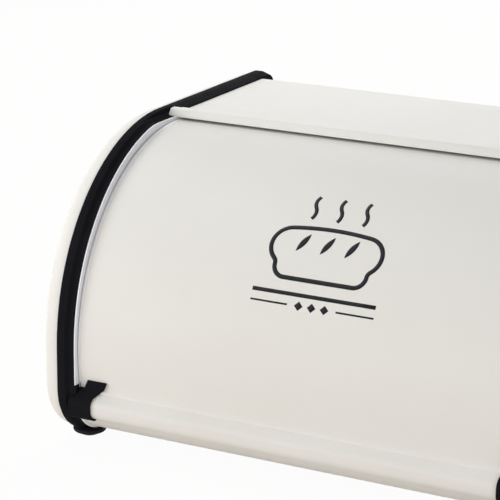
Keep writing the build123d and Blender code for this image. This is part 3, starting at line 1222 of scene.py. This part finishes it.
@dataclass(frozen=True)
class LipClip:
    """A black clip on one end of the pull lip: a cover, a tab on the lid and a nose over the frame."""

    sizes: LidSizes
    side: Side
    tab_reach: float
    tab_width: float
    tab_lean: float
    fit: float = 0.05 * MM
    wall: float = 1.65 * MM
    edge_round: float = 0.45 * MM
    inner_x: float = 144.0 * MM
    split_x: float = 156.3 * MM
    outer_x: float = 160.6 * MM
    spare_width: float = 12.0 * MM
    sweep_radius: float = 138.66 * MM
    tab_rise: float = 3.7 * MM
    shoulder_rise: float = 1.6 * MM

    def front_outline(self) -> list[Vector]:
        """Find the outline of the cover and its tab, seen from the front.

        Returns:
            Corners as distance from the middle and height.
        """
        sizes = self.sizes
        low_z = sizes.lip_corner_z + self.shoulder_rise
        top_z = sizes.lip_corner_z + sizes.lip_run + self.tab_rise
        tab_inner = self.inner_x - self.tab_reach
        tab_outer = tab_inner + self.tab_width
        return [
            Vector((self.inner_x, 0.0)),
            Vector((self.split_x, 0.0)),
            Vector((self.split_x, low_z)),
            Vector((tab_outer, low_z)),
            Vector((tab_outer - self.tab_lean, top_z)),
            Vector((tab_inner - self.tab_lean, top_z)),
            Vector((tab_inner, low_z)),
            Vector((self.inner_x, sizes.lip_corner_z - sizes.lip_run)),
        ]

    def keeps(self, place: Vector) -> bool:
        """Say whether a place on the swept sheet belongs to the clip.

        Args:
            place: Middle of a face.

        Returns:
            True inside the front outline, and on the nose outside the frame's ledge.
        """
        if place.x > self.split_x:
            reach = math.hypot(place.y - self.sizes.pivot_y, place.z - self.sizes.pivot_z)
            return reach + self.wall > self.sweep_radius
        corners = self.front_outline()
        inside = False
        for first, second in zip(corners, corners[1:] + corners[:1]):
            if (first.y > place.z) != (second.y > place.z):
                share = (place.z - first.y) / (second.y - first.y)
                if place.x < first.x + share * (second.x - first.x):
                    inside = not inside
        return inside

    def build(self) -> None:
        """Sweep the lip's line, cut it to the outline and give it its wall."""
        sizes = self.sizes
        mesh = bmesh.new()
        rise = self.tab_rise / sizes.radius
        path = SidePath(mesh, *sizes.on_arc(rise - sizes.low_angle, self.fit))
        path.bend(sizes.pivot_y, sizes.pivot_z, math.degrees(rise), pieces=3)
        sizes.draw_lip(path, self.fit, pieces=10)
        sweep(mesh, (self.inner_x - self.spare_width, self.split_x, self.outer_x))
        corners = self.front_outline()
        for first, second in zip(corners, corners[1:] + corners[:1]):
            lean = (second - first).normalized()
            cut(mesh, (first.x, 0.0, first.y), (lean.y, 0.0, -lean.x))
        spare = [face for face in mesh.faces if not self.keeps(face.calc_center_median())]
        bmesh.ops.delete(mesh, geom=spare, context="FACES")
        stretch_x(mesh, self.side.value)
        face_away(mesh, sizes.pivot)
        name = f"{self.side.word}_lip_clip"
        piece = make_piece(mesh, f"{name}_cover", BLACK_PLASTIC, Body.LID, (name,))
        thicken(piece, self.wall, outward=True)
        soften(piece, self.edge_round, segments=3, angle=SHARP_ANGLE)


class Bend(NamedTuple):
    """An arc of a stroke: radius of its middle line, angle to the left and number of faces."""

    radius: float
    degrees: float
    pieces: int


class InkPen:
    """Draws flat strokes of one width, with x across and y up."""

    def __init__(self, mesh: BMesh, x: float, y: float, heading: float, width: float) -> None:
        """Set the pen down.

        Args:
            mesh: Mesh to draw in.
            x: Place across.
            y: Place up.
            heading: Direction of the stroke, in degrees from x towards y.
            width: Width of the stroke.
        """
        self.mesh = mesh
        self.place = Vector((x, y, 0.0))
        self.heading = heading
        half = self.left() * (width / 2.0)
        self.edge = mesh.edges.new(
            (mesh.verts.new(self.place - half), mesh.verts.new(self.place + half))
        )

    def left(self) -> Vector:
        """Return the unit vector to the left of the stroke."""
        turn = math.radians(self.heading + 90.0)
        return Vector((math.cos(turn), math.sin(turn), 0.0))

    def run(self, length: float, pieces: int) -> None:
        """Draw straight ahead.

        Args:
            length: Length of the stroke.
            pieces: Number of faces.
        """
        turn = math.radians(self.heading)
        step = Vector((math.cos(turn), math.sin(turn), 0.0)) * (length / pieces)
        for _ in range(pieces):
            self.edge = extrude(self.mesh, [self.edge], step)[0]
        self.place += step * pieces

    def bend(self, radius: float, degrees: float, pieces: int) -> None:
        """Draw an arc.

        Args:
            radius: Radius of the stroke's middle line.
            degrees: Angle, to the left if positive.
            pieces: Number of faces.
        """
        centre = self.place + self.left() * math.copysign(radius, degrees)
        made = spin(self.mesh, [self.edge, *self.edge.verts], centre, UP, degrees, pieces)
        self.edge = next(item for item in made if isinstance(item, BMEdge))
        self.place = centre + Matrix.Rotation(math.radians(degrees), 3, "Z") @ (self.place - centre)
        self.heading += degrees


@dataclass(frozen=True)
class LoafMark:
    """A plain loaf with steam, a rule and a row of diamonds, printed on the lid."""

    sizes: LidSizes
    centre_x: float = 8.7 * MM
    centre_angle: float = 39.5
    lift: float = 0.03 * MM
    ink: float = 0.04 * MM
    stroke_weld: float = 0.01 * MM
    bold: float = 3.0 * MM
    medium: float = 2.6 * MM
    fine: float = 1.2 * MM
    loaf_low: float = -18.0 * MM
    loaf_half_foot: float = 24.0 * MM
    loaf_foot: Bend = Bend(radius=8.0 * MM, degrees=90.0, pieces=10)
    loaf_waist: Bend = Bend(radius=5.0 * MM, degrees=-50.0, pieces=6)
    loaf_crust: Bend = Bend(radius=13.0 * MM, degrees=132.0, pieces=16)
    loaf_back: Bend = Bend(radius=195.7 * MM, degrees=16.0, pieces=14)
    cut_pitch: float = 17.0 * MM
    cut_height: float = 7.0 * MM
    cut_half_width: float = 2.0 * MM
    cut_half_length: float = 7.5 * MM
    cut_lean: float = -28.0
    steam_pitch: float = 18.0 * MM
    steam_low: float = 25.0 * MM
    steam_heading: float = 55.0
    steam_radius: float = 8.0 * MM
    steam_angle: float = 70.0
    rule_half_width: float = 43.0 * MM
    rule_height: float = -28.0 * MM
    row_height: float = -35.0 * MM
    diamond_pitch: float = 9.0 * MM
    diamond_radius: float = 3.0 * MM
    dash_length: float = 26.0 * MM

    def build(self) -> None:
        """Draw the mark flat, then lay it on the lid's arc."""
        mesh = bmesh.new()
        self.draw_loaf(mesh)
        self.draw_cuts(mesh)
        self.draw_steam(mesh)
        self.draw_rule(mesh)
        weld(mesh, self.stroke_weld)
        bmesh.ops.recalc_face_normals(mesh, faces=mesh.faces[:])
        for vert in mesh.verts:
            angle = math.radians(self.centre_angle) + vert.co.y / self.sizes.radius
            y, z = self.sizes.on_arc(angle, self.lift)
            vert.co = (self.centre_x + vert.co.x, y, z)
        face_away(mesh, self.sizes.pivot)
        piece = make_piece(mesh, "loaf_mark", PRINT_INK, Body.LID)
        thicken(piece, self.ink, outward=True)

    def draw_loaf(self, mesh: BMesh) -> None:
        """Draw the loaf's outline, from the middle of its foot all the way round.

        Args:
            mesh: Mesh to draw in.
        """
        pen = InkPen(mesh, 0.0, self.loaf_low, 0.0, self.bold)
        side = (self.loaf_foot, self.loaf_waist, self.loaf_crust)
        pen.run(self.loaf_half_foot, pieces=6)
        for bend in (*side, self.loaf_back, *reversed(side)):
            pen.bend(*bend)
        pen.run(self.loaf_half_foot, pieces=6)

    def draw_cuts(self, mesh: BMesh) -> None:
        """Draw three slim cuts in the crust.

        Args:
            mesh: Mesh to draw in.
        """
        lean = Matrix.Rotation(math.radians(self.cut_lean), 3, "Z")
        for x in (-self.cut_pitch, 0.0, self.cut_pitch):
            made = bmesh.ops.create_grid(mesh, x_segments=4, y_segments=12, size=1.0)["verts"]
            for vert in made:
                vert.co.x *= 1.0 - vert.co.y**2
            bmesh.ops.scale(mesh, verts=made, vec=(self.cut_half_width, self.cut_half_length, 1.0))
            bmesh.ops.rotate(mesh, verts=made, matrix=lean)
            bmesh.ops.translate(mesh, verts=made, vec=(x, self.cut_height, 0.0))

    def draw_steam(self, mesh: BMesh) -> None:
        """Draw three wisps of steam over the loaf.

        Args:
            mesh: Mesh to draw in.
        """
        for x in (-self.steam_pitch, 0.0, self.steam_pitch):
            pen = InkPen(mesh, x, self.steam_low, self.steam_heading, self.medium)
            pen.bend(self.steam_radius, self.steam_angle, pieces=8)
            pen.bend(self.steam_radius, -self.steam_angle, pieces=8)

    def draw_rule(self, mesh: BMesh) -> None:
        """Draw a rule under the loaf and a row of diamonds between two short rules.

        Args:
            mesh: Mesh to draw in.
        """
        half = self.rule_half_width
        InkPen(mesh, -half, self.rule_height, 0.0, self.medium).run(2.0 * half, pieces=8)
        for x in (-self.diamond_pitch, 0.0, self.diamond_pitch):
            made = bmesh.ops.create_circle(mesh, cap_ends=True, segments=4, radius=self.diamond_radius)
            bmesh.ops.translate(mesh, verts=made["verts"], vec=(x, self.row_height, 0.0))
        for x in (-half, half - self.dash_length):
            InkPen(mesh, x, self.row_height, 0.0, self.fine).run(self.dash_length, pieces=4)


@dataclass(frozen=True)
class KeptNodes:
    """The model's own nodes that stay, each with a finish by the end of its name."""

    finishes: tuple[tuple[str, Finish], ...] = (
        ("edge_frame", BLACK_PLASTIC),
        ("end_panel", CREAM_PAINT),
        ("inner_cheek", CREAM_PAINT),
        ("cheek_screws", ZINC_STEEL),
        ("pivot_stud", ZINC_STEEL),
        ("push_nut", ZINC_STEEL),
        ("pivot_bush", NYLON),
        ("pivot_washer", NYLON),
        ("lid_arm", CREAM_PAINT),
        ("foot", BLACK_RUBBER),
        ("body_wrap", CREAM_PAINT),
        ("lid_skin", CREAM_PAINT),
        ("lip_clip", BLACK_PLASTIC),
    )

    def dress(self) -> None:
        """Give every node its finish."""
        for name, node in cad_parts.items():
            finish = next(finish for ending, finish in self.finishes if name.endswith(ending))
            node.data.materials.clear()
            node.data.materials.append(finish.material())
            LOG.info("%s has %s", name, finish.name)


@dataclass(frozen=True)
class Lamp:
    """A soft rectangular lamp that looks at the box, with its power in watts."""

    name: str
    place: Triple
    size: tuple[float, float]
    power: float
    aim: Triple = (0.0, 0.0, 0.1)

    def hang(self) -> None:
        """Hang the lamp and turn it to the box."""
        data = bpy.data.lights.new(self.name, "AREA")
        data.shape = "RECTANGLE"
        data.size, data.size_y = self.size
        data.energy = self.power
        lamp = bpy.data.objects.new(self.name, data)
        lamp.location = self.place
        way = Vector(self.aim) - Vector(self.place)
        lamp.rotation_euler = way.to_track_quat("-Z", "Y").to_euler()
        bpy.context.scene.collection.objects.link(lamp)


@dataclass(frozen=True)
class Studio:
    """A pale floor, a white surround, soft lamps and the camera."""

    camera_place: Triple = (0.5556, -1.2880, 0.5426)
    camera_tilt: float = 16.617
    camera_turn: float = 27.036
    camera_roll: float = 0.639
    focal_pixels: float = 2137.0
    picture_pixels: float = 500.0
    sensor: float = 36.0
    ambient: float = 0.13
    floor_size: float = 4.0
    floor_tone: Triple = (0.86, 0.80, 0.74)
    floor_rough: float = 0.9
    floor_glow: float = 0.96
    lamps: tuple[Lamp, ...] = (
        Lamp("left_lamp", place=(-1.5, -1.4, 0.46), size=(1.8, 0.8), power=21.0),
        Lamp("right_lamp", place=(1.5, -1.5, 0.6), size=(1.6, 1.0), power=15.0),
        Lamp("rear_lamp", place=(-0.3, 1.7, 1.0), size=(1.8, 1.2), power=13.0),
        Lamp("high_lamp", place=(-1.1, 0.1, 1.7), size=(1.6, 1.4), power=21.0),
    )

    def build(self) -> None:
        """Set up the whole studio."""
        bpy.context.scene.view_settings.view_transform = "Standard"
        self.build_camera()
        self.build_surround()
        self.build_floor()
        for lamp in self.lamps:
            lamp.hang()

    def build_camera(self) -> None:
        """Place the camera at the photograph's angle."""
        lens = bpy.data.cameras.new("camera")
        lens.sensor_width = self.sensor
        lens.lens = self.sensor * self.focal_pixels / self.picture_pixels
        camera = bpy.data.objects.new("camera", lens)
        camera.location = self.camera_place
        turn = Matrix.Rotation(math.radians(self.camera_turn), 3, "Z")
        tilt = Matrix.Rotation(math.radians(90.0 - self.camera_tilt), 3, "X")
        roll = Matrix.Rotation(math.radians(self.camera_roll), 3, "Z")
        camera.rotation_euler = (turn @ tilt @ roll).to_euler()
        bpy.context.scene.collection.objects.link(camera)
        bpy.context.scene.camera = camera

    @staticmethod
    def add_shown(tree: NodeTree) -> NodeSocket:
        """Find the rays that show a surface: those of the camera, of reflections and through glass.

        Args:
            tree: Node tree to add to.

        Returns:
            A socket that is one for such rays.
        """
        path = tree.nodes.new("ShaderNodeLightPath")
        total = path.outputs["Is Camera Ray"]
        for kind in ("Is Glossy Ray", "Is Transmission Ray"):
            either = tree.nodes.new("ShaderNodeMath")
            either.operation = "MAXIMUM"
            tree.links.new(total, either.inputs[0])
            tree.links.new(path.outputs[kind], either.inputs[1])
            total = either.outputs[0]
        return total

    @staticmethod
    def mix_shaders(
        tree: NodeTree,
        share: NodeSocket,
        first: Node,
        second: Node,
        end: str,
    ) -> None:
        """Mix two shaders and lead them to the output.

        Args:
            tree: Node tree to add to.
            share: Share of the second shader.
            first: The first shader.
            second: The second shader.
            end: Name of the output node.
        """
        mix = tree.nodes.new("ShaderNodeMixShader")
        tree.links.new(share, mix.inputs["Fac"])
        tree.links.new(first.outputs[0], mix.inputs[1])
        tree.links.new(second.outputs[0], mix.inputs[2])
        tree.links.new(mix.outputs[0], tree.nodes[end].inputs["Surface"])

    def build_surround(self) -> None:
        """Make a white surround that lights the box at a plain level."""
        world = bpy.data.worlds.new("surround")
        bpy.context.scene.world = world
        world.use_nodes = True
        tree = world.node_tree
        light = tree.nodes["Background"]
        white = tree.nodes.new("ShaderNodeBackground")
        for node, strength in ((light, self.ambient), (white, 1.0)):
            node.inputs["Color"].default_value = WHITE
            node.inputs["Strength"].default_value = strength
        self.mix_shaders(tree, self.add_shown(tree), light, white, "World Output")

    def build_floor(self) -> None:
        """Make a pale floor that shows white and keeps a soft shadow."""
        mesh = bmesh.new()
        bmesh.ops.create_grid(mesh, x_segments=1, y_segments=1, size=self.floor_size)
        data = bpy.data.meshes.new("floor")
        mesh.to_mesh(data)
        mesh.free()
        desk = NodeDesk("pale_floor")
        desk.fix(Base_Color=(*self.floor_tone, 1.0), Roughness=self.floor_rough, Specular_IOR_Level=0.0)
        glow = desk.add("ShaderNodeEmission")
        glow.inputs["Color"].default_value = WHITE
        share = desk.add("ShaderNodeMath", operation="MULTIPLY")
        share.inputs[1].default_value = self.floor_glow
        desk.join(self.add_shown(desk.tree), share.inputs[0])
        self.mix_shaders(desk.tree, share.outputs[0], desk.shader, glow, "Material Output")
        data.materials.append(desk.material)
        floor = bpy.data.objects.new("floor", data)
        bpy.context.scene.collection.objects.link(floor)


def main() -> None:
    """Build the studio and every piece in order."""
    logging.basicConfig(level=logging.INFO, format="%(name)s: %(message)s")
    Studio().build()
    KeptNodes().dress()
    case = CaseSizes()
    CaseWrap(case).build()
    sizes = LidSizes()
    LidShell(sizes).build()
    for side in Side:
        EdgeBand(case, side).build()
        for row in Row:
            RubberFoot(side, row).build()
        LidEdgeStrip(sizes, side).build()
    LipClip(sizes, Side.LEFT, tab_reach=6.0 * MM, tab_width=14.5 * MM, tab_lean=3.0 * MM).build()
    LipClip(sizes, Side.RIGHT, tab_reach=-2.0 * MM, tab_width=9.0 * MM, tab_lean=0.0).build()
    LoafMark(sizes).build()
    bpy.context.view_layer.update()


if __name__ == "__main__":
    main()
